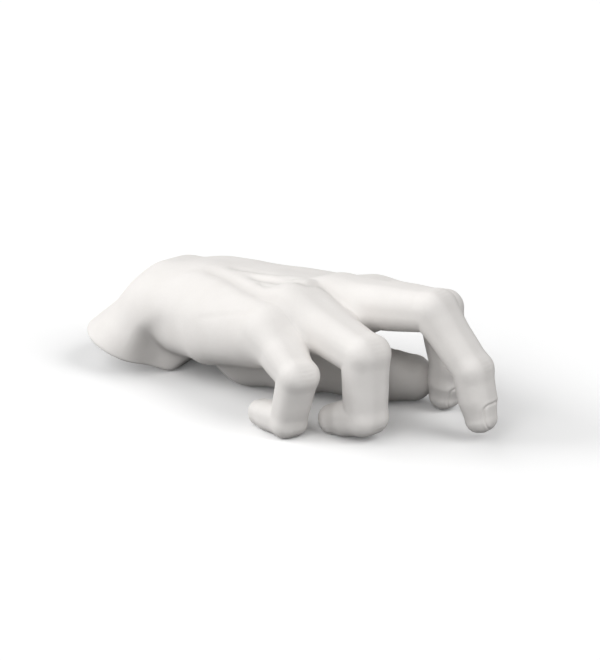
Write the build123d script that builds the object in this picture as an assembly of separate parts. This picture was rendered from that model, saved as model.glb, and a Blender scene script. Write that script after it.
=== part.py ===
from build123d import *
import os
from math import cos, radians, sin

# A ceramic hand at about twice life size, palm down. It stands on the rim of its open wrist, on its
# curled ring and little fingers and on its thumb. Sizes are in mm and angles in degrees;
# +X runs from the wrist to the fingers, +Y to the thumb side and +Z up.

WALL = 7.0                  # cast wall of the hollow hand
HOLLOW_END = 132.0          # end of the hollow, from the wrist joint
GRIND = 1.0                 # ground off the lowest points, so that each stands on a small flat

# Palm: its axis starts at the wrist joint and rises to the knuckles
WRIST_BEHIND = 118.0
WRIST_ASIDE = 16.5
WRIST_HEIGHT = 57.0
WRIST = Vector(-WRIST_BEHIND, WRIST_ASIDE, WRIST_HEIGHT)
PALM_SLOPE = 13.0
PALM_LENGTH = 178.0         # wrist joint to the web between the fingers
WRIST_BEND = 75.0           # radius of the axis at the wrist

# Wrist stub: it bends down and towards the little finger, and ends in a sloping cut
STUB_HEADING = 214.0
STUB_SLOPE = -42.0
STUB_LENGTH = 62.2
STUB_TURN = 11.0            # turn of its section about its axis, thumb side down,
TURN_START = -40.0          # which goes between these places along the axis
TURN_END = 30.0
CUT_LEAN = 23.0             # cut face away from the table
CUT_HEADING = 208.0         # side on which the cut face lifts

# Outline of the hand at places along the axis from the wrist joint, negative down the stub: lift off
# the axis, reach to the thumb side, the back, the little-finger side and the palm, skew of the row
HAND = [
    (-120, 0, 54, 36, 55, 38, 0),
    (-30, 0, 54, 37, 57, 38, 0),
    (10, -2, 53, 34, 60, 43, 0),
    (45, -8, 54, 34, 67, 47, 0),
    (PALM_LENGTH - 88, -14, 57, 32, 78, 44, 4),
    (PALM_LENGTH - 48, -17, 59, 31, 85, 34, 8),
    (PALM_LENGTH - 20, -20, 57, 28, 83, 22, 9),
    (PALM_LENGTH, -28, 50, 13, 70, 13, 10),
]

# Fingers: knuckle place back from the end of the palm axis, across and above it; heading of the finger;
# slope and length of its three bones; half widths at the knuckle, both joints and the pad
FINGERS = {
    "index_finger": dict(knuckle=(17, 45, -18), heading=2, slopes=(4, -79, -98),
                         bones=(71, 41.5, 28), halves=(21.0, 19.0, 17.0, 16.0)),
    "middle_finger": dict(knuckle=(8.5, -2, -8), heading=5, slopes=(5, -49, -77),
                          bones=(90, 53.7, 38), halves=(21.5, 19.5, 17.0, 16.0)),
    "ring_finger": dict(knuckle=(20, -40, -6), heading=-6, slopes=(-14, -89, -171),
                        bones=(81, 49.5, 35), halves=(21.0, 19.0, 17.0, 16.0)),
    "little_finger": dict(knuckle=(37, -72, -16), heading=-14, slopes=(-20, -109, -176),
                          bones=(63, 40.6, 36), halves=(18.5, 16.5, 14.5, 13.8)),
}
SEAT = 34.0                 # luted joint of a finger, from its knuckle
RIDGE_START = 55.0          # ridges on the back of the hand begin this far from the wrist joint,
RIDGE_SPREAD = 0.5          # at this share of the knuckle's place across,
RIDGE_HEIGHT = 2.0          # this high over the palm axis
RIDGE_HALF = 16.0           # and this thick
WEB_DROP = 3.0              # web between two fingers, below their knuckles,
WEB_HALF = 18.5             # its thickness there
WEB_EDGE = 11.0             # and at its edge,
WEB_REACH = 0.42            # which lies at this share of the near bones

# Thumb: base joint near the wrist, then metacarpal, near bone and end bone
THUMB_AHEAD = 40.0          # base joint from the wrist joint
THUMB_ASIDE = 18.0
THUMB_BELOW = 17.8
THUMB_BASE = WRIST + Vector(THUMB_AHEAD, THUMB_ASIDE, -THUMB_BELOW)
THUMB_HEADINGS = (-8, 14, 31)
THUMB_SLOPES = (-7.3, -6, -10.5)
THUMB_BONES = (PALM_LENGTH - 96, 58, 36)
THUMB_HALVES = (26.0, 23.0, 21.0)
THUMB_SEAT = 28.0           # luted joint of the thumb, from its knuckle
BALL_HALF = 33.0            # fullest half width of the ball of the thumb
BALL_BROAD = 44.0           # and its reach under the palm

# Digit shape, per half width
WAIST = 0.95                # bone between two joints
BONE_BACK, BONE_PALM = 0.92, 0.94
JOINT_BACK, JOINT_PALM = 1.03, 0.9
PAD_BACK, PAD_PALM = 0.86, 0.96
PAD_END = 0.86              # loft where the round tip takes over
TIP = 0.88                  # radius of the round tip
KNUCKLE = 0.98              # radius of the round knuckle

JOINT_BEND = 18.0           # radius of a digit's axis at its joints
OVERRUN = 24.0              # loft carried past both ends of a digit before it is trimmed
SECTION_STEP = 12.0         # between sections of a digit
HAND_SPANS = 11             # spans of the loft of the hand
HOLLOW_SPANS = 10           # and of its hollow
ELLIPSE = 0.5523            # handle length that makes a quarter curve elliptic
FULL = 0.66                 # fuller quarter curve, for the back over the little finger
FLESHY = 0.72               # fullest one, for the palm
UPWARD = (Align.CENTER, Align.CENTER, Align.MIN)


def direction(heading, slope):
    """Unit vector with this heading about Z and this slope above the table."""
    flat = cos(radians(slope))
    return Vector(flat * cos(radians(heading)), flat * sin(radians(heading)), sin(radians(slope)))


def outline(centre, side, back, reaches, handles=(ELLIPSE,) * 4):
    """Closed curve of four quarters about a centre; reaches go thumb side, back, outer side, palm."""
    arms = [side * reaches[0], back * reaches[1], side * -reaches[2], back * -reaches[3]]
    quarters = []
    for start, end, handle in zip(arms, arms[1:] + arms[:1], handles):
        quarters.append(Bezier(centre + start, centre + start + end * handle,
                               centre + end + start * handle, centre + end))
    return Face(Wire(quarters))


def between(keys, place):
    """Values at a place, eased between the keys on either side of it."""
    for (here, *values), (there, *others) in zip(keys, keys[1:]):
        if place <= there:
            share = max(0, (place - here) / (there - here))
            ease = share * share * (3 - 2 * share)
            return [a + (b - a) * ease for a, b in zip(values, others)]
    return keys[-1][1:]


def hand_point(along, across, above):
    """Point of the hand by its place along, across and above the palm axis."""
    return (WRIST + direction(0, PALM_SLOPE) * along + Vector(0, across, 0)
            + direction(0, PALM_SLOPE + 90) * above)


def chain(start, headings, slopes, bones):
    """Joint centres of a digit, from its first joint to the centre of its tip."""
    points = [start]
    for heading, slope, bone in zip(headings, slopes, bones):
        points.append(points[-1] + direction(heading, slope) * bone)
    return points


def hand_solid(inset, end, spans):
    """Hand from below the wrist cut to an end place along its axis, smaller by an inset all round."""
    stub = direction(STUB_HEADING, STUB_SLOPE)
    stub_side = direction(STUB_HEADING - 90, 0).rotate(Axis((0, 0, 0), stub), STUB_TURN)
    stub_far = -HAND[0][0]
    axis = FilletPolyline(WRIST + stub * stub_far, WRIST, hand_point(PALM_LENGTH, 0, 0), radius=WRIST_BEND)
    corner = stub_far + PALM_LENGTH - axis.length
    span = stub_far + end - corner
    sections = []
    for place in range(spans + 1):
        share = place / spans * span / axis.length
        where = share * axis.length - stub_far + corner / 2
        lift, *reaches, skew = between(HAND, where)
        turn = between([(TURN_START, 0), (TURN_END, 1)], where)[0]
        along = axis.tangent_at(share)
        side = stub_side * (1 - turn) + Vector(0, 1, 0) * turn
        back = along.cross(side).normalized()
        side = back.cross(along).rotate(Axis((0, 0, 0), back), -skew)
        sections.append(outline(axis.position_at(share) + back * lift, side, back,
                                [reach - inset for reach in reaches], (ELLIPSE, FULL, FLESHY, FLESHY)))
    return loft(sections)


def knuckle_point(finger):
    back, across, above = finger["knuckle"]
    return hand_point(PALM_LENGTH - back, across, above)


def ray(start, end, near, far):
    """Round ridge between two points, from one radius to another, with a ball at its end."""
    along = end - start
    ridge = Plane(start, z_dir=along) * Cone(near, far, along.length, align=UPWARD)
    return ridge + Plane(end, z_dir=along) * Sphere(far)


def ridge_start(across):
    return hand_point(RIDGE_START, across * RIDGE_SPREAD, RIDGE_HEIGHT)


def metacarpal(finger):
    """Ridge on the back of the hand that widens from the wrist into a round knuckle."""
    return ray(ridge_start(finger["knuckle"][1]), knuckle_point(finger), RIDGE_HALF,
               finger["halves"][0] * KNUCKLE)


def web(finger, other):
    """Flesh between two knuckles that thins out between the fingers."""
    root = (knuckle_point(finger) + knuckle_point(other)) / 2 - Vector(0, 0, WEB_DROP)
    bones = [direction(each["heading"], each["slopes"][0]) * each["bones"][0] for each in (finger, other)]
    edge = root + (bones[0] + bones[1]) / 2 * WEB_REACH
    across = (finger["knuckle"][1] + other["knuckle"][1]) / 2
    return [ray(ridge_start(across), root, RIDGE_HALF, WEB_HALF), ray(root, edge, WEB_HALF, WEB_EDGE)]


def thumb_ball():
    """Muscle over the thumb's first bone, broad towards the palm, with the round joint at its end."""
    along = direction(THUMB_HEADINGS[0], THUMB_SLOPES[0])
    back = direction(THUMB_HEADINGS[0], THUMB_SLOPES[0] + 90)
    side = direction(THUMB_HEADINGS[0] + 90, 0)
    joint = THUMB_HALVES[0]
    bellies = [(0, 0.65, 0.6), (0.25, 0.94, 0.9), (0.5, 1, 1), (0.75, 0.9, 0.85), (1, 0.65, 0.5)]
    sections = []
    for share, full, broad in bellies:
        half = BALL_HALF * full
        sections.append(outline(THUMB_BASE + along * (THUMB_BONES[0] * share), side, back,
                                (half, half, BALL_BROAD * broad, half)))
    return loft(sections) + Plane(THUMB_BASE + along * THUMB_BONES[0], z_dir=along) * Sphere(joint)


def digit(points, side, halves, seat):
    """Loft along the bent axis with a round tip, parted at the seat into its base and the digit itself."""
    first = (points[1] - points[0]).normalized()
    last = (points[-1] - points[-2]).normalized()
    axis = FilletPolyline(points[0] - first * OVERRUN, *points[1:-1], points[-1] + last * OVERRUN,
                          radius=JOINT_BEND)
    edges = axis.edges()
    marks = [sum(edge.length for edge in edges[:count]) for count in range(len(edges) + 1)]
    joints = [(marks[place] + marks[place + 1]) / 2 for place in range(1, len(edges), 2)]
    end = marks[-1] - OVERRUN
    pad = halves[-1]
    keys = [(OVERRUN, halves[0] * WAIST, BONE_BACK, 1)]
    for joint, before, half in zip(joints, halves, halves[1:]):
        keys.append(((keys[-1][0] + joint) / 2, (before + half) / 2 * WAIST, BONE_BACK, BONE_PALM))
        keys.append((joint, half, JOINT_BACK, JOINT_PALM))
    keys.append(((joints[-1] + end) / 2, pad, PAD_BACK, PAD_PALM))
    keys.append((end, pad * PAD_END, 1, 1))
    count = round(marks[-1] / SECTION_STEP)
    sections = []
    for place in range(count + 1):
        share = place / count
        half, up, down = between(keys, share * marks[-1])
        back = axis.tangent_at(share).cross(side).normalized()
        sections.append(outline(axis.position_at(share), side, back, (half, half * up, half, half * down)))
    solid = loft(sections)
    solid -= Plane(points[0], z_dir=-first) * Cylinder(halves[0] * 2, OVERRUN * 1.5, align=UPWARD)
    solid -= Plane(points[-1], z_dir=last) * Cylinder(pad * 1.5, OVERRUN * 1.5, align=UPWARD)
    solid += Plane(points[-1] - last * pad * 0.2, z_dir=last) * Sphere(pad * TIP)
    base = Plane(points[0], z_dir=first) * Cylinder(halves[0] * 1.6, seat, align=UPWARD)
    return solid & base, solid - base


thumb_points = chain(THUMB_BASE, THUMB_HEADINGS, THUMB_SLOPES, THUMB_BONES)[1:]
base, thumb = digit(thumb_points, direction(THUMB_HEADINGS[1] + 90, 0), THUMB_HALVES, THUMB_SEAT)
digits = {"thumb": thumb}
outer = hand_solid(0, PALM_LENGTH, HAND_SPANS) + thumb_ball()
outer += base
for name, finger in FINGERS.items():
    points = chain(knuckle_point(finger), [finger["heading"]] * 3, finger["slopes"], finger["bones"])
    base, digits[name] = digit(points, direction(finger["heading"] + 90, 0), finger["halves"], SEAT)
    outer += metacarpal(finger)
    outer += base
for finger, other in zip(list(FINGERS.values()), list(FINGERS.values())[1:]):
    for ridge in web(finger, other):
        outer += ridge

stub_end = WRIST + direction(STUB_HEADING, STUB_SLOPE) * STUB_LENGTH
cut = Plane(stub_end, z_dir=direction(CUT_HEADING + 180, 90 - CUT_LEAN))
outer = split(outer, bisect_by=cut, keep=Keep.TOP)
nodes = {"hand_shell": outer - hand_solid(WALL, HOLLOW_END, HOLLOW_SPANS)}
for name, solid in digits.items():
    nodes[name] = solid - outer

# Feet are ground flat on the table, and the middle of the footprint becomes the origin
boxes = [solid.bounding_box() for solid in nodes.values()]
low = [min(getattr(box.min, axis) for box in boxes) for axis in "XYZ"]
high = [max(getattr(box.max, axis) for box in boxes) for axis in "XYZ"]
table = Plane((0, 0, low[2] + GRIND))
to_origin = Pos(-(low[0] + high[0]) / 2, -(low[1] + high[1]) / 2, -table.origin.Z)
os.makedirs("parts", exist_ok=True)
for name, solid in nodes.items():
    ground = split(solid, bisect_by=table, keep=Keep.TOP)
    export_step(to_origin * ground, f"parts/{name}.step")
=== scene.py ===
import math

import bmesh
import bpy
import numpy as np
import openvdb
from mathutils import Matrix, Vector


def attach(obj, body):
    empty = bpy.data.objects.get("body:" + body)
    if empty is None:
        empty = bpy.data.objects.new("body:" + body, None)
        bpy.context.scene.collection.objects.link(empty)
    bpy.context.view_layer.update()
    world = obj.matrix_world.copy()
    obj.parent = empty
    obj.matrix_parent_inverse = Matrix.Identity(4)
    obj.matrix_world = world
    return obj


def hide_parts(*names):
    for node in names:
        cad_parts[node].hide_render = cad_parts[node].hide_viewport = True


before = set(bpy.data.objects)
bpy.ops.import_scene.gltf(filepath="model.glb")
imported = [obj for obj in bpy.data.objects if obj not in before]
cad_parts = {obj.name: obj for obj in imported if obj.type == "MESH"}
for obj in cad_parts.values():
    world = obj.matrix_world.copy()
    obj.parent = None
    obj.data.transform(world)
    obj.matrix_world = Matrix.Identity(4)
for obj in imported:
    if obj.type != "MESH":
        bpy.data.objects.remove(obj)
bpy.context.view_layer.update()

# The hand points along +X, its thumb side is +Y and the table is Z = 0. The clay is modelled in mm
# about the skeleton's own origin, and is moved and scaled to metres when it becomes a mesh.
MM = 0.001
CLAY_ORIGIN = Vector((0.1, 0.9, 0.0))
CLAY_LOW = (-204.0, -92.0, -6.0)    # corners of a box round the clay
CLAY_HIGH = (202.0, 92.0, 122.0)
CLAY_GRAIN = 2.6                    # grid on which the clay is first cast
FAR = 60.0                          # distance that stands for anywhere well off the clay
ROLL_MARGIN = 12.0                  # how far past its blend a roll of clay is measured
LONGEST_PRESS = 3.0                 # farthest that one round of pressing moves the skin
EVENING = 0.4                       # share by which one round evens the grain of the skin

# Hollow casting
WALL = 7.0
HOLLOW_END = 132.0                  # end of the hollow, from the wrist joint
HOLLOW_ROUNDING = 10.0
RIM_ROUNDING = 3.0                  # edges of the rim at the wrist
FOOT_ROUNDING = 0.8                 # edges of the places that are ground flat on the table

# Camera at the photograph's angle
CAMERA_TARGET = (Vector((14.7, 6.5, 57.5)) + CLAY_ORIGIN) * MM
CAMERA_AZIMUTH = 42.0
CAMERA_ELEVATION = 17.5
CAMERA_DISTANCE = 1.8
CAMERA_LENS = 123.2
CAMERA_SENSOR = 36.0

# Studio light: a faint dome, and softboxes given by heading, height and strength
DOME = 0.06
SOFTBOX_SPREAD = 42.0
SOFTBOXES = {
    "wrist_side": (-148, 24, 1.65),
    "high_side": (-108, 50, 0.5),
    "front": (-68, 28, 1.2),
    "fingertip_side": (8, 40, 1.35),
    "behind": (162, 50, 0.5),
}
FLOOR_SIZE = 8.0
FLOOR_BOUNCE = 0.22                 # grey of the floor as it lights the hand
FLOOR_LIFT = 0.06                   # added to the floor where it is seen, to reach white

# Porcelain
PALE_BODY = (0.835, 0.812, 0.79, 1)
CLOUDED_BODY = (0.79, 0.765, 0.74, 1)
# Painted shade: a grey mixed into the porcelain's colour in grooves, folds and round the nails, where
# shade would fall
PAINTED_CREASE_SHADE = (0.56, 0.535, 0.51, 1)
FULL_CREASE_SHADE = 0.8                   # depth at which the painted crease shade is full
STROKE_SHADE_SHARE = 0.3                   # share of a broad stroke's depth that counts toward the painted crease shade


def vec(*values):
    return np.array(values, float)


def unit(vector):
    return vector / np.linalg.norm(vector)


def direction(heading, slope):
    """Unit vector with this heading about Z and this slope above the table, in degrees."""
    flat = math.cos(math.radians(slope))
    return vec(flat * math.cos(math.radians(heading)), flat * math.sin(math.radians(heading)),
               math.sin(math.radians(slope)))


# Skeleton: wrist joint, stub of the forearm with its sloping cut, and the axis of the palm
WRIST = vec(-118.0, 16.5, 57.0)
PALM_SLOPE = 13.0
ACROSS = (0.0, 1.0, 0.0)
STUB = direction(214, -42)
STUB_TURN = 11.0
STUB_SIDE = vec(*(Matrix.Rotation(math.radians(STUB_TURN), 3, Vector(STUB)) @ Vector(direction(124, 0))))
STUB_PALM = np.cross(STUB, STUB_SIDE)
STUB_LENGTH = 60.6
CUT = direction(28, 67)

# Knuckle, both joints and the heart of the tip of each finger, and the heading it bends in
FINGERS = {
    "index_finger": ((43.0, 61.5, 75.6), (112.0, 63.2, 80.7), (121.7, 63.4, 40.0), (117.8, 63.4, 12.3)),
    "middle_finger": ((49.0, 14.5, 87.0), (138.5, 22.3, 95.0), (173.8, 25.4, 54.6), (182.3, 26.2, 17.6)),
    "ring_finger": ((37.3, -23.5, 86.6), (115.5, -31.7, 67.0), (116.3, -31.8, 19.5), (86.5, -34.5, 11.0)),
    "little_finger": ((35.0, -51.5, 73.0), (79.8, -68.6, 51.5), (67.6, -65.6, 13.1), (32.8, -57.9, 9.6)),
}
HEADINGS = {"index_finger": 2, "middle_finger": 5, "ring_finger": -6, "little_finger": -14}

# Root, joints and heart of the tip of the thumb, and the heading across it
THUMB = ((-78.0, 34.5, 37.5), (2.4, 20.5, 27.2), (56.0, 39.5, 23.0), (84.5, 63.0, 19.2))
THUMB_SIDE = 104.0
THUMB_SPREADS = (3.0, 3.0, 3.0, 3.0, 2.0)

# Root of each finger's ray along, across and above the axis of the palm, and the ray's end radii
RAYS = {
    "index_finger": ((52, 22, -3), (15, 16.5)),
    "middle_finger": ((52, 4, -1), (15.5, 17.5)),
    "ring_finger": ((52, -14, 0), (16, 17.5)),
    "little_finger": ((48, -28, -5), (18, 17.5)),
}

# Radii along each digit from its knuckle to its tip: at the joints, halfway between them, and at the
# pad of a finger
RADII = {
    "index_finger": (18.5, 17.0, 15.6, 14.8, 14.0, 13.8, 11.3),
    "middle_finger": (19.0, 18.0, 16.0, 14.2, 13.8, 13.4, 11.0),
    "ring_finger": (18.5, 17.5, 16.2, 15.4, 14.6, 13.8, 11.3),
    "little_finger": (17.5, 15.6, 13.6, 13.0, 12.2, 11.8, 9.8),
    "thumb": (23.0, 21.0, 20.5, 20.0, 18.0),
}
PAD_PLACE = 0.55                    # place of a finger's pad along its last bone
FLATNESS = 0.14                     # extra half width of a finger, per radius
SQUARENESS = 0.13                   # share of a finger's radius that is flat, on its back, palm and sides
SQUARE_TO_TIP = vec(1, 1, 1, 1, 1, 0.7, 0.4)
JOINT_CORNER = 0.66                 # rounding of a bent joint, per radius
JOINT_REACH = 0.8                   # share of the way into that corner at which its bar is set
JOINT_WIDTH = 0.75                  # length of that bar, as a share of the room for it
WEB_BLEND = 14.0                    # how softly a digit is worked into the palm
WEB_REACH = (0.42, 0.4, 0.34)       # share of the first bones that each web covers
SEAT = {"little_finger": 26.0, "thumb": 28.0}   # luted joint of a digit, from its knuckle
USUAL_SEAT = 34.0
SEAT_FLESH = 3.0                    # flesh over a digit's own clay that still belongs to it


def hand_point(along, across, above):
    """Point by its place along, across and above the axis of the palm."""
    return (WRIST + direction(0, PALM_SLOPE) * along + vec(0, across, 0)
            + direction(0, PALM_SLOPE + 90) * above)


def soft_min(a, b, blend):
    reach = np.maximum(blend - np.abs(a - b), 0) / blend
    return np.minimum(a, b) - reach * reach * blend / 4


def soft_max(a, b, blend):
    return -soft_min(-a, -b, blend)


class Roll:
    """A roll of clay along points, tapering between its radii, widened to both sides by a spread and
    squared by a share of its spread towards its back and its front. It is worked into other clay with
    a blend, and its own stretches into one another with an ease."""

    def __init__(self, points, radii, side, spreads, blend, ease, square):
        self.points = np.array(points, float)
        self.radii, self.side, self.spreads = radii, side, spreads
        self.blend, self.ease, self.square = blend, ease, square
        self.middle = (self.points.min(0) + self.points.max(0)) / 2
        half = np.linalg.norm(np.ptp(self.points, axis=0)) / 2
        self.reach = half + max(radii) + max(spreads) + blend + ROLL_MARGIN

    def stretch(self, place, points):
        """Distance to the stretch that starts at a place in the roll."""
        start, end = self.points[place:place + 2]
        length = np.linalg.norm(end - start)
        axis = (end - start) / length
        rel = points - start
        along = np.clip(rel @ axis, 0, length)
        share = along / length
        share = share * share * (3 - 2 * share)
        rel = rel - along[:, None] * axis
        if self.side is not None:
            side = unit(self.side - axis * (self.side @ axis))
            spread = self.spreads[place] + (self.spreads[place + 1] - self.spreads[place]) * share
            rel = rel - np.clip(rel @ side, -spread, spread)[:, None] * side
            if self.square:
                back = np.cross(axis, side)
                spread = spread * self.square
                rel = rel - np.clip(rel @ back, -spread, spread)[:, None] * back
        radius = self.radii[place] + (self.radii[place + 1] - self.radii[place]) * share
        return np.sqrt((rel * rel).sum(1)) - radius

    def distance(self, points):
        value = self.stretch(0, points)
        for place in range(1, len(self.points) - 1):
            value = soft_min(value, self.stretch(place, points), self.ease)
        return value

    def near(self, points):
        return ((points - self.middle) ** 2).sum(1) < self.reach * self.reach


class Mass:
    """Rolls that are worked into one another in turn, or scooped out of those before them."""

    def __init__(self):
        self.rolls = []
        self.scoops = []

    def add(self, points, radii, side=None, spreads=None, blend=6.0, ease=0.01, square=0.0):
        side = None if side is None else np.array(side, float)
        spreads = [0] * len(points) if spreads is None else spreads
        self.rolls.append(Roll(points, radii, side, spreads, blend, ease, square))

    def scoop(self, points, radii, blend):
        self.add(points, radii, blend=blend, ease=blend)
        self.scoops.append(self.rolls[-1])

    def distance(self, points):
        value = np.full(len(points), FAR)
        for roll in self.rolls:
            near = roll.near(points)
            if near.any() and roll in self.scoops:
                value[near] = soft_max(value[near], -roll.distance(points[near]), roll.blend)
            elif near.any():
                value[near] = soft_min(value[near], roll.distance(points[near]), roll.blend)
        return value


def add_wrist(palm):
    """The stub of the forearm with its full palm side, the swelling on the back of the wrist, and the
    little-finger side of the wrist, scooped out below the heel of the hand."""
    stub_end = WRIST + STUB * (STUB_LENGTH + 45)
    wrist = WRIST + STUB * 14 + vec(0, 0, 1.5)
    palm.add([stub_end, wrist, hand_point(34, -2, -8)], radii=[27, 27, 26],
             side=STUB_SIDE, spreads=[28, 28, 26], blend=10, ease=12)
    palm.add([stub_end, wrist, hand_point(30, 0, -8), hand_point(90, -4, -18)], radii=[38, 33.5, 34.5, 24],
             side=STUB_SIDE, spreads=[10, 10, 12, 14], blend=14, ease=10)
    full = WRIST + STUB_PALM * 29 + STUB_SIDE * 6
    palm.add([full + STUB * 12, full + STUB * (STUB_LENGTH + 30)], radii=[11, 12],
             side=STUB_SIDE, spreads=[26, 32], blend=12)
    palm.add([hand_point(-6, -2, 17), hand_point(14, 0, 13)], radii=[11.5, 10],
             side=ACROSS, spreads=[13, 13], blend=16)
    hollow = WRIST + STUB_PALM * 41 - STUB_SIDE * 69
    palm.scoop([hollow + STUB * 8, hollow + STUB * 32, hollow + STUB * 62], radii=[42, 39, 18], blend=8)


def add_body(palm):
    """The body of the hand, a ray to each knuckle, and the pads of the palm."""
    palm.add([hand_point(26, -2, -8), hand_point(60, -4, -13), hand_point(122, -8, -18)],
             radii=[27, 25, 20], side=ACROSS, spreads=[20, 28, 36], blend=20)
    for name, (root, radii) in RAYS.items():
        palm.add([hand_point(*root), FINGERS[name][0] - vec(0, 0, 2)], radii, blend=20)
    # Pad below the knuckles
    palm.add([hand_point(82, -5, -23), hand_point(138, -8, -30)], radii=[22, 18],
             side=ACROSS, spreads=[26, 40], blend=20)
    # Outer edge of the hand, and the heel and pad below it
    palm.add([hand_point(18, -30, -12), hand_point(70, -48, -13), hand_point(130, -61, -18)],
             radii=[23, 22, 20.5], blend=18, ease=6)
    palm.add([hand_point(24, -40, -25), hand_point(70, -56, -29), hand_point(138, -67, -27)],
             radii=[12, 13, 11], blend=16, ease=6)
    # Ball of the thumb, and the pad below the index finger
    palm.add([THUMB[0], (-37, 6, 30.5), THUMB[1]], radii=[25, 29, 25], blend=16, ease=6)
    palm.add([hand_point(105, 30, -22), hand_point(140, 40, -30)], radii=[20, 14], blend=20)


def add_webs(palm):
    """The webs between neighbouring fingers, a little below the line of the bones."""
    drop = vec(0, 0, 4)
    names = list(FINGERS)
    for near, far, share in zip(names, names[1:], WEB_REACH):
        root = (vec(*FINGERS[near][0]) + FINGERS[far][0]) / 2
        ends = [vec(*knuckle) * (1 - share) + vec(*middle) * share
                for knuckle, middle, *_ in (FINGERS[near], FINGERS[far])]
        palm.add([hand_point(62, root[1] * 0.55, -6), root - drop, (ends[0] + ends[1]) / 2 - drop],
                 radii=[18, 17, 8], blend=22)


def palm_mass():
    palm = Mass()
    add_wrist(palm)
    add_body(palm)
    add_webs(palm)
    return palm


def finger_mass(name):
    finger = Mass()
    knuckle, middle, end, tip = (np.array(joint) for joint in FINGERS[name])
    side = direction(HEADINGS[name] + 90, 0)
    radii = np.array(RADII[name])
    pad = end * (1 - PAD_PLACE) + tip * PAD_PLACE
    points = [knuckle, (knuckle + middle) / 2, middle, (middle + end) / 2, end, pad, tip]
    flats = radii * SQUARENESS * SQUARE_TO_TIP
    finger.add(points, radii - flats, side=side, spreads=flats + radii * FLATNESS, blend=8,
               square=SQUARENESS / (SQUARENESS + FLATNESS))
    # A bar across the back of each bent joint squares its corner
    for start, joint, finish, radius in ((knuckle, middle, end, radii[2]), (middle, end, tip, radii[4])):
        backs = [unit(np.cross(bone, side)) for bone in (joint - start, finish - joint)]
        back = unit(backs[0] + backs[1])
        corner = radius * JOINT_CORNER
        heart = joint + back * (radius - corner) / (back @ backs[0]) * JOINT_REACH
        across = side * (radius * (1 + FLATNESS) - corner) * JOINT_WIDTH
        finger.add([heart - across, heart + across], [corner] * 2, blend=6)
    return finger


def thumb_mass():
    thumb = Mass()
    root, middle, end = (np.array(joint) for joint in THUMB[1:])
    points = [root, (root + middle) / 2, middle, (middle + end) / 2, end]
    thumb.add(points, RADII["thumb"], side=direction(THUMB_SIDE, 0), spreads=THUMB_SPREADS, blend=8)
    return thumb


class Stroke:
    """A stroke along points in the clay: a groove of this depth, or a ridge where it is negative."""

    FADE = 0.2                      # share of its length over which it fades at each end
    LEAST = 0.1                     # share of its depth at the very ends

    def __init__(self, depth, width, *points):
        self.depth, self.width = depth, width
        knots = np.array([points[0], *points, points[-1]], float)
        spans = [self.span(*knots[place:place + 4]) for place in range(len(knots) - 3)]
        self.points = np.concatenate(spans + [knots[-1:]])

    @staticmethod
    def span(before, start, end, after):
        """Smooth curve from start to end, by a point for each mm or so."""
        share = np.linspace(0, 1, max(2, int(np.linalg.norm(end - start))), endpoint=False)[:, None]
        return start + share / 2 * (end - before + share * (
            2 * before - 5 * start + 4 * end - after + share * (3 * (start - end) + after - before)))

    def depth_at(self, points):
        middle = (self.points.min(0) + self.points.max(0)) / 2
        reach = np.linalg.norm(np.ptp(self.points, axis=0)) / 2 + self.width * 3
        depth = np.zeros(len(points))
        near = ((points - middle) ** 2).sum(1) < reach * reach
        if near.any():
            gaps = np.stack([((points[near] - point) ** 2).sum(1) for point in self.points])
            place = gaps.argmin(0) / (len(self.points) - 1)
            fade = np.clip(np.minimum(place, 1 - place) / self.FADE, self.LEAST, 1)
            depth[near] = self.depth * fade * np.exp(-gaps.min(0) / self.width ** 2)
        return depth


# Strokes on the back of the hand: hollows beside the tendons, a line along the outer edge, and two tendons
STROKES = [
    Stroke(1.3, 5.0, (-64, 6, 95), (-45, 3, 97), (-26, 1, 98), (-4, 3, 100)),
    Stroke(1.8, 4.5, (-32, -4, 97), (-15, -13, 98), (4, -15, 100), (40, -20, 106), (50, -10, 105),
           (60, -8, 100), (78, -11, 92)),
    Stroke(1.8, 6.0, (-91, -20, 88), (-79, -11, 93), (-65, -11, 94), (-45, -16, 95), (-18, -28, 96),
           (8, -40, 97), (32, -45, 99), (52, -45, 94), (63, -46, 88)),
    Stroke(1.0, 3.2, (-6, -20, 98), (7, -27, 99), (18, -29, 101), (28, -30, 105)),
    Stroke(0.5, 3.0, (-40, -56, 71), (-8, -61, 81), (27, -64, 93)),
    Stroke(-1.1, 5.0, (-46, -1, 96), (-14, -7, 99), (20, 0, 102), (44, 0, 107)),
    Stroke(-1.2, 6.0, (-67, -7, 94), (-29, -17, 96), (4, -30, 98), (37, -41, 102), (51, -34, 102)),
]


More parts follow.
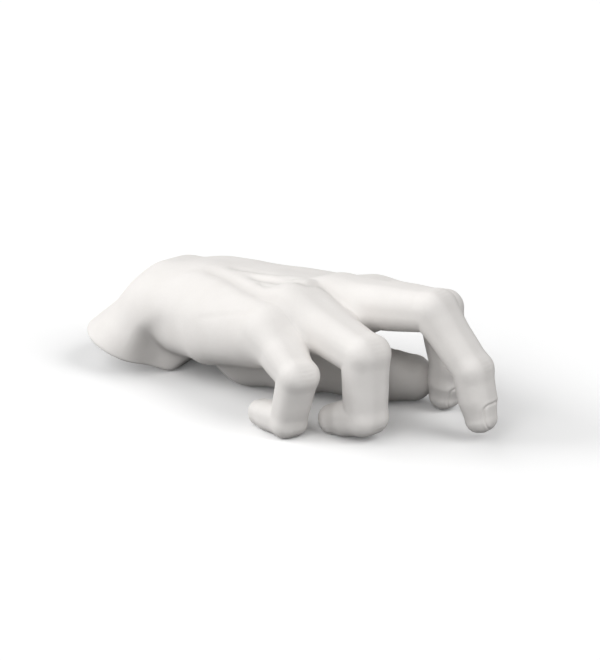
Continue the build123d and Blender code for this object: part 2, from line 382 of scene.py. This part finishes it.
class Clay:
    """The whole hand: the palm, and each digit worked into it but not into the other digits."""

    def __init__(self):
        self.palm = palm_mass()
        self.digits = {name: finger_mass(name) for name in FINGERS}
        self.digits["thumb"] = thumb_mass()

    def hollow(self, points, palm):
        reach = (points - WRIST) @ direction(0, PALM_SLOPE) - HOLLOW_END
        return soft_max(palm + WALL, reach, HOLLOW_ROUNDING)

    def distance(self, points, strokes=()):
        """Distance to the surface of the clay, below zero inside it."""
        palm = self.palm.distance(points)
        value = palm.copy()
        for digit in self.digits.values():
            value = np.minimum(value, soft_min(palm, digit.distance(points), WEB_BLEND))
        for stroke in strokes:
            value = value + stroke.depth_at(points)
        cut = (points - WRIST - STUB * STUB_LENGTH) @ -CUT
        value = soft_max(value, cut, RIM_ROUNDING)
        value = soft_max(value, -self.hollow(points, palm), RIM_ROUNDING)
        return soft_max(value, -points[:, 2], FOOT_ROUNDING)

    def cast(self, grain):
        """Mesh of the clay's surface, from its distance on a grid."""
        axes = [np.arange(low, high, grain) for low, high in zip(CLAY_LOW, CLAY_HIGH)]
        points = np.stack(np.meshgrid(*axes, indexing="ij"), -1)
        values = self.distance(points.reshape(-1, 3)).reshape(points.shape[:3])
        grid = openvdb.FloatGrid(FAR)
        grid.copyFromArray(values.astype(np.float32))
        vertices, quads = grid.convertToQuads(0.0)
        mesh = bpy.data.meshes.new("clay")
        mesh.from_pydata(vertices * grain + vec(*CLAY_LOW), [], quads.tolist())
        mesh.update()
        return mesh

    def owner(self, points):
        """Node that each point of the surface belongs to."""
        owners = np.full(len(points), "hand_shell", dtype=object)
        nearest = np.full(len(points), SEAT_FLESH)
        for name, digit in self.digits.items():
            joints = FINGERS.get(name, THUMB[1:])
            first = unit(vec(*joints[1]) - joints[0])
            beyond = (points - joints[0]) @ first - SEAT.get(name, USUAL_SEAT)
            away = digit.distance(points)
            mine = (beyond > 0) & (away < nearest)
            owners[mine] = name
            nearest[mine] = away[mine]
        return owners


class Skin:
    """Vertices, edges and normals of a mesh, for moves along and across its surface."""

    def __init__(self, mesh):
        self.mesh = mesh
        self.points = np.empty(len(mesh.vertices) * 3)
        mesh.vertices.foreach_get("co", self.points)
        self.points = self.points.reshape(-1, 3)
        self.edges = np.empty(len(mesh.edges) * 2, int)
        mesh.edges.foreach_get("vertices", self.edges)
        self.edges = self.edges.reshape(-1, 2)
        self.valence = np.bincount(self.edges.ravel(), minlength=len(self.points))

    def store(self):
        self.mesh.vertices.foreach_set("co", self.points.ravel())
        self.mesh.update()

    def normals(self):
        self.store()
        normals = np.empty(len(self.points) * 3)
        self.mesh.vertex_normals.foreach_get("vector", normals)
        return normals.reshape(-1, 3)

    def spread(self, values):
        """Mean of each vertex's neighbours."""
        a, b = self.edges[:, 0], self.edges[:, 1]
        total = np.empty_like(values)
        for axis in range(values.shape[1]):
            total[:, axis] = (np.bincount(a, values[b, axis], len(values))
                              + np.bincount(b, values[a, axis], len(values)))
        return total / self.valence[:, None]

    def press(self, clay, rounds, strokes):
        """Moves the skin onto the clay and evens out its grain along the surface."""
        for _ in range(rounds):
            normals = self.normals()
            away = np.clip(clay.distance(self.points, strokes), -LONGEST_PRESS, LONGEST_PRESS)
            drift = self.spread(self.points) - self.points
            drift -= normals * (drift * normals).sum(1)[:, None]
            self.points = self.points - normals * away[:, None] + drift * EVENING


def pressed(mesh, clay, rounds, strokes=()):
    """Skin of the mesh, after these rounds of pressing it onto the clay."""
    skin = Skin(mesh)
    skin.press(clay, rounds, strokes)
    skin.store()
    return skin


def subdivided(mesh, chosen):
    """Halves the edges whose two vertices are both chosen."""
    bm = bmesh.new()
    bm.from_mesh(mesh)
    bm.verts.ensure_lookup_table()
    edges = [edge for edge in bm.edges if chosen[edge.verts[0].index] and chosen[edge.verts[1].index]]
    bmesh.ops.subdivide_edges(bm, edges=edges, cuts=1, use_grid_fill=True)
    bm.to_mesh(mesh)
    bm.free()


class Nail:
    """Plate of a nail in the flesh of a digit's tip, with its outline in shares of the tip's radius."""

    FOLD = 0.55                     # depth of the fold round the plate
    PLATE = 0.25                    # rise of the plate
    FLESH = 0.35                    # rise of the flesh beside the fold

    def __init__(self, joint, tip, back, radius):
        self.along = unit(tip - joint)
        self.back = unit(back - self.along * (back @ self.along))
        self.side = np.cross(self.back, self.along)
        self.radius = radius
        self.heart = tip - self.along * radius * 0.12
        self.half_width = radius * 0.66
        self.half_length = radius * 0.72
        self.corner = self.half_width * 0.62
        self.bow = radius * 0.10

    def near(self, points):
        rel = points - self.heart - self.back * self.radius * 0.7
        return (rel * rel).sum(1) < (self.radius * 1.25) ** 2

    def rise(self, points):
        """Height of the plate and depth of the fold round it."""
        rel = points - self.heart
        up, across, along = rel @ self.back, rel @ self.side, rel @ self.along
        arc = np.arctan2(across, np.maximum(up, 0.1)) * self.radius * 0.95
        along = along + (arc / self.half_width) ** 2 * self.bow
        x = np.abs(arc) - self.half_width + self.corner
        y = np.abs(along) - self.half_length + self.corner
        edge = np.hypot(np.maximum(x, 0), np.maximum(y, 0)) + np.minimum(np.maximum(x, y), 0) - self.corner
        free_end = np.clip(along / self.half_length, 0, 1) ** 3
        fold = -self.FOLD * np.exp(-((edge - 0.3) / 0.9) ** 2) * (1 - free_end * 0.4)
        plate = self.PLATE * np.clip(-edge / 1.6, 0, 1)
        flesh = self.FLESH * np.exp(-((edge - 2.4) / 1.3) ** 2) * (1 - free_end)
        return np.where(up > 0, fold + plate + flesh, 0)


def nails():
    plates = []
    for name, joints in FINGERS.items():
        end, tip = vec(*joints[2]), vec(*joints[3])
        back = np.cross(tip - end, direction(HEADINGS[name] + 90, 0))
        plates.append(Nail(end, tip, back, RADII[name][5]))
    # The thumb lies on its side, so its nail faces outwards and up
    end, tip = vec(*THUMB[2]), vec(*THUMB[3])
    outer = unit(np.cross(vec(0, 0, 1), tip - end))
    plates.append(Nail(end, tip, outer * 0.8 + vec(0, 0, 0.6), RADII["thumb"][3] * 0.95))
    return plates


class Folds:
    """Fine folds across the back of a joint."""

    # Place of each fold along the finger, its share of the depth, and its slant
    LINES = ((-5.0, 0.6, 0.9), (-1.6, 1.0, -0.7), (1.9, 0.8, 0.5), (5.6, 0.5, -1.2))
    LINE_WIDTH = 0.9
    BOW = 2.2
    HALF_LENGTH = 0.62              # per radius of the joint

    def __init__(self, before, joint, after, side, radius, depth):
        bones = unit(joint - before), unit(after - joint)
        self.joint, self.side, self.radius, self.depth = joint, side, radius, depth
        self.back = unit(np.cross(bones[0], side) + np.cross(bones[1], side))
        self.along = np.cross(side, self.back)

    def near(self, points):
        rel = points - self.joint - self.back * self.radius
        return (rel * rel).sum(1) < (self.radius * 0.95) ** 2

    def rise(self, points):
        rel = points - self.joint
        across = rel @ self.side / self.radius
        along = rel @ self.along + across * across * self.BOW
        lines = sum(share * np.exp(-((along + across * slant - place) / self.LINE_WIDTH) ** 2)
                    for place, share, slant in self.LINES)
        height = np.clip((rel @ self.back) / self.radius * 2 - 1, 0, 1)
        fade = np.clip(1 - (across / self.HALF_LENGTH) ** 2, 0, 1) * height
        return -self.depth * lines * fade


def joint_folds():
    folds = []
    for name, joints in FINGERS.items():
        knuckle, middle, end, tip = (vec(*joint) for joint in joints)
        side = direction(HEADINGS[name] + 90, 0)
        folds.append(Folds(knuckle, middle, end, side, RADII[name][2], depth=0.18))
        folds.append(Folds(middle, end, tip, side, RADII[name][4], depth=0.2))
    return folds


class Socket:
    """A shader socket: arithmetic on it adds Math nodes, and node() adds any other node to its tree."""

    def __init__(self, tree, output=None):
        self.tree, self.output = tree, output

    def node(self, kind, output, settings=None, **sockets):
        node = self.tree.nodes.new(kind)
        for name, value in (settings or {}).items():
            setattr(node, name, value)
        for name, value in sockets.items():
            self.feed(node.inputs[name.replace("_", " ")], value)
        return Socket(self.tree, node.outputs[output])

    def feed(self, target, value):
        if isinstance(value, Socket):
            self.tree.links.new(value.output, target)
        else:
            target.default_value = value

    def maths(self, operation, a, b):
        node = self.tree.nodes.new("ShaderNodeMath")
        node.operation = operation
        for target, value in zip(node.inputs, (a, b)):
            self.feed(target, value)
        return Socket(self.tree, node.outputs["Value"])

    def __add__(self, other):
        return self.maths("ADD", self, other)

    def __sub__(self, other):
        return self.maths("SUBTRACT", self, other)

    def __rsub__(self, other):
        return self.maths("SUBTRACT", other, self)

    def __mul__(self, other):
        return self.maths("MULTIPLY", self, other)

    __radd__, __rmul__ = __add__, __mul__


def grey(value):
    return (value, value, value, 1)


def mixed(tree, factor, a, b):
    return tree.node("ShaderNodeMix", "Result", {"data_type": "RGBA"}, Factor=factor, A=a, B=b)


def noise(tree, place, scale, detail, roughness):
    return tree.node("ShaderNodeTexNoise", "Fac", Vector=place, Scale=scale, Detail=detail,
                     Roughness=roughness)


def new_material(name):
    material = bpy.data.materials.new(name)
    material.use_nodes = True
    return material, material.node_tree.nodes["Principled BSDF"], Socket(material.node_tree)


def porcelain():
    """Unglazed white porcelain: a dry fine grain, faint clouding, and a little grey painted into the
    creases as shade.
    """
    material, shader, tree = new_material("bisque_porcelain")
    place = tree.node("ShaderNodeTexCoord", "Object")
    cloud = noise(tree, place, scale=42.0, detail=3.0, roughness=0.55)
    fleck = noise(tree, place, scale=360.0, detail=3.0, roughness=0.6)
    grain = noise(tree, place, scale=1700.0, detail=2.0, roughness=0.6)
    crease_shade = tree.node("ShaderNodeAttribute", "Fac", {"attribute_name": "crease_shade"})
    body = mixed(tree, cloud * 1.4 + fleck * 0.5 - 0.45, PALE_BODY, CLOUDED_BODY)
    # Painted shade: the crease mask darkens the colour towards grey in grooves, folds and round the nails;
    # it also roughens them a little
    tree.feed(shader.inputs["Base Color"], mixed(tree, crease_shade * 0.4, body, PAINTED_CREASE_SHADE))
    tree.feed(shader.inputs["Roughness"], 0.52 + fleck * 0.16 + crease_shade * 0.1)
    bump = tree.node("ShaderNodeBump", "Normal", Strength=0.35, Distance=0.0004,
                     Height=grain * 0.45 + fleck * 0.7 + cloud * 0.6)
    tree.feed(shader.inputs["Normal"], bump)
    shader.inputs["Specular IOR Level"].default_value = 0.15
    return material


def link(name, data):
    made = bpy.data.objects.new(name, data)
    bpy.context.scene.collection.objects.link(made)
    return made


def model_skin(clay):
    """The hand's skin, cast on a grid, pressed to the clay and finished with nails and folds."""
    mesh = clay.cast(CLAY_GRAIN)
    skin = pressed(mesh, clay, rounds=4)
    subdivided(mesh, clay.palm.distance(skin.points) > 1 - WALL)
    skin = pressed(mesh, clay, 4, STROKES)
    plates = nails()
    details = plates + joint_folds()
    for finer in (details, plates):
        subdivided(mesh, np.any([detail.near(skin.points) for detail in finer], axis=0))
        skin = pressed(mesh, clay, 2, STROKES)
    normals = skin.normals()
    # Depth of each groove, fold and nail fold, which becomes the mask of painted crease shade
    depth = sum(stroke.depth_at(skin.points) for stroke in STROKES) * STROKE_SHADE_SHARE
    for detail in details:
        near = detail.near(skin.points)
        rise = detail.rise(skin.points[near])
        skin.points[near] += normals[near] * rise[:, None]
        depth[near] -= rise
    skin.points[:, 2] = np.maximum(skin.points[:, 2], 0)
    skin.store()
    crease_shade = mesh.attributes.new("crease_shade", "FLOAT", "POINT")
    crease_shade.data.foreach_set("value", np.clip(depth / FULL_CREASE_SHADE, 0, 1).astype(np.float32))
    normals = mesh.attributes.new("skin_normal", "FLOAT_VECTOR", "POINT")
    normals.data.foreach_set("vector", skin.normals().astype(np.float32).ravel())
    return mesh


def parted(mesh, owners, name):
    """The part of the skin that belongs to a node, closed by a fan of flat faces at each luted joint."""
    bm = bmesh.new()
    bm.from_mesh(mesh)
    bm.faces.ensure_lookup_table()
    bmesh.ops.delete(bm, geom=[face for face in bm.faces if owners[face.index] != name], context="FACES")
    for face in bm.faces:
        face.smooth = True
    rims = [edge for edge in bm.edges if edge.is_boundary]
    caps = bmesh.ops.holes_fill(bm, edges=rims, sides=0)["faces"]
    for face in bmesh.ops.poke(bm, faces=caps)["faces"]:
        face.smooth = False
    bmesh.ops.translate(bm, verts=bm.verts, vec=CLAY_ORIGIN)
    bmesh.ops.scale(bm, verts=bm.verts, vec=(MM, MM, MM))
    part = bpy.data.meshes.new(name)
    bm.to_mesh(part)
    bm.free()
    # Across the luted joint the skin is wiped smooth, so its normals are those of the whole hand
    skin_normal = part.attributes["skin_normal"]
    normals = [skin_normal.data[vertex].vector if face.use_smooth else face.normal
               for face in part.polygons for vertex in face.vertices]
    part.normals_split_custom_set(normals)
    part.attributes.remove(part.attributes["skin_normal"])
    return part


def hand():
    """The hand's casting and its five digits, each in place of its own node."""
    clay = Clay()
    mesh = model_skin(clay)
    centres = np.empty(len(mesh.polygons) * 3)
    mesh.polygons.foreach_get("center", centres)
    owners = clay.owner(centres.reshape(-1, 3))
    material = porcelain()
    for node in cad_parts:
        part = parted(mesh, owners, node)
        part.materials.append(material)
        piece = link(node + "_casting", part)
        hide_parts(node)
        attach(piece, "root")
    bpy.data.meshes.remove(mesh)


def shown(tree):
    """1 where the surroundings are seen, directly or in a reflection, and 0 where they only give light."""
    rays = ("Is Camera Ray", "Is Glossy Ray", "Is Transmission Ray")
    straight, mirrored, through = (tree.node("ShaderNodeLightPath", ray) for ray in rays)
    return straight + mirrored + through


def white_floor():
    bm = bmesh.new()
    bmesh.ops.create_grid(bm, x_segments=1, y_segments=1, size=FLOOR_SIZE)
    mesh = bpy.data.meshes.new("floor")
    bm.to_mesh(mesh)
    bm.free()
    floor = link("floor", mesh)
    material, shader, tree = new_material("floor_white")
    mask = shown(tree)
    tree.feed(shader.inputs["Base Color"], mixed(tree, mask, grey(FLOOR_BOUNCE), grey(1)))
    tree.feed(shader.inputs["Emission Color"], mixed(tree, mask, grey(0), grey(1)))
    shader.inputs["Emission Strength"].default_value = FLOOR_LIFT
    shader.inputs["Roughness"].default_value = 1
    shader.inputs["Specular IOR Level"].default_value = 0
    mesh.materials.append(material)


def studio_light():
    world = bpy.data.worlds.new("studio")
    bpy.context.scene.world = world
    world.use_nodes = True
    background = world.node_tree.nodes["Background"]
    tree = Socket(world.node_tree)
    tree.feed(background.inputs["Color"], mixed(tree, shown(tree), grey(DOME), grey(1)))
    background.inputs["Strength"].default_value = 1
    for name, (heading, height, strength) in SOFTBOXES.items():
        lamp = bpy.data.lights.new(name, "SUN")
        lamp.energy = strength
        lamp.angle = math.radians(SOFTBOX_SPREAD)
        softbox = link(name, lamp)
        softbox.rotation_mode = "QUATERNION"
        softbox.rotation_quaternion = Vector(direction(heading, height)).to_track_quat("Z", "Y")


def camera():
    data = bpy.data.cameras.new("camera")
    data.lens = CAMERA_LENS
    data.sensor_width = CAMERA_SENSOR
    eye = link("camera", data)
    back = Vector(direction(CAMERA_AZIMUTH - 90, CAMERA_ELEVATION))
    eye.location = CAMERA_TARGET + back * CAMERA_DISTANCE
    eye.rotation_mode = "QUATERNION"
    eye.rotation_quaternion = (-back).to_track_quat("-Z", "Y")
    bpy.context.scene.camera = eye


bpy.context.scene.view_settings.view_transform = "Standard"
hand()
white_floor()
studio_light()
camera()
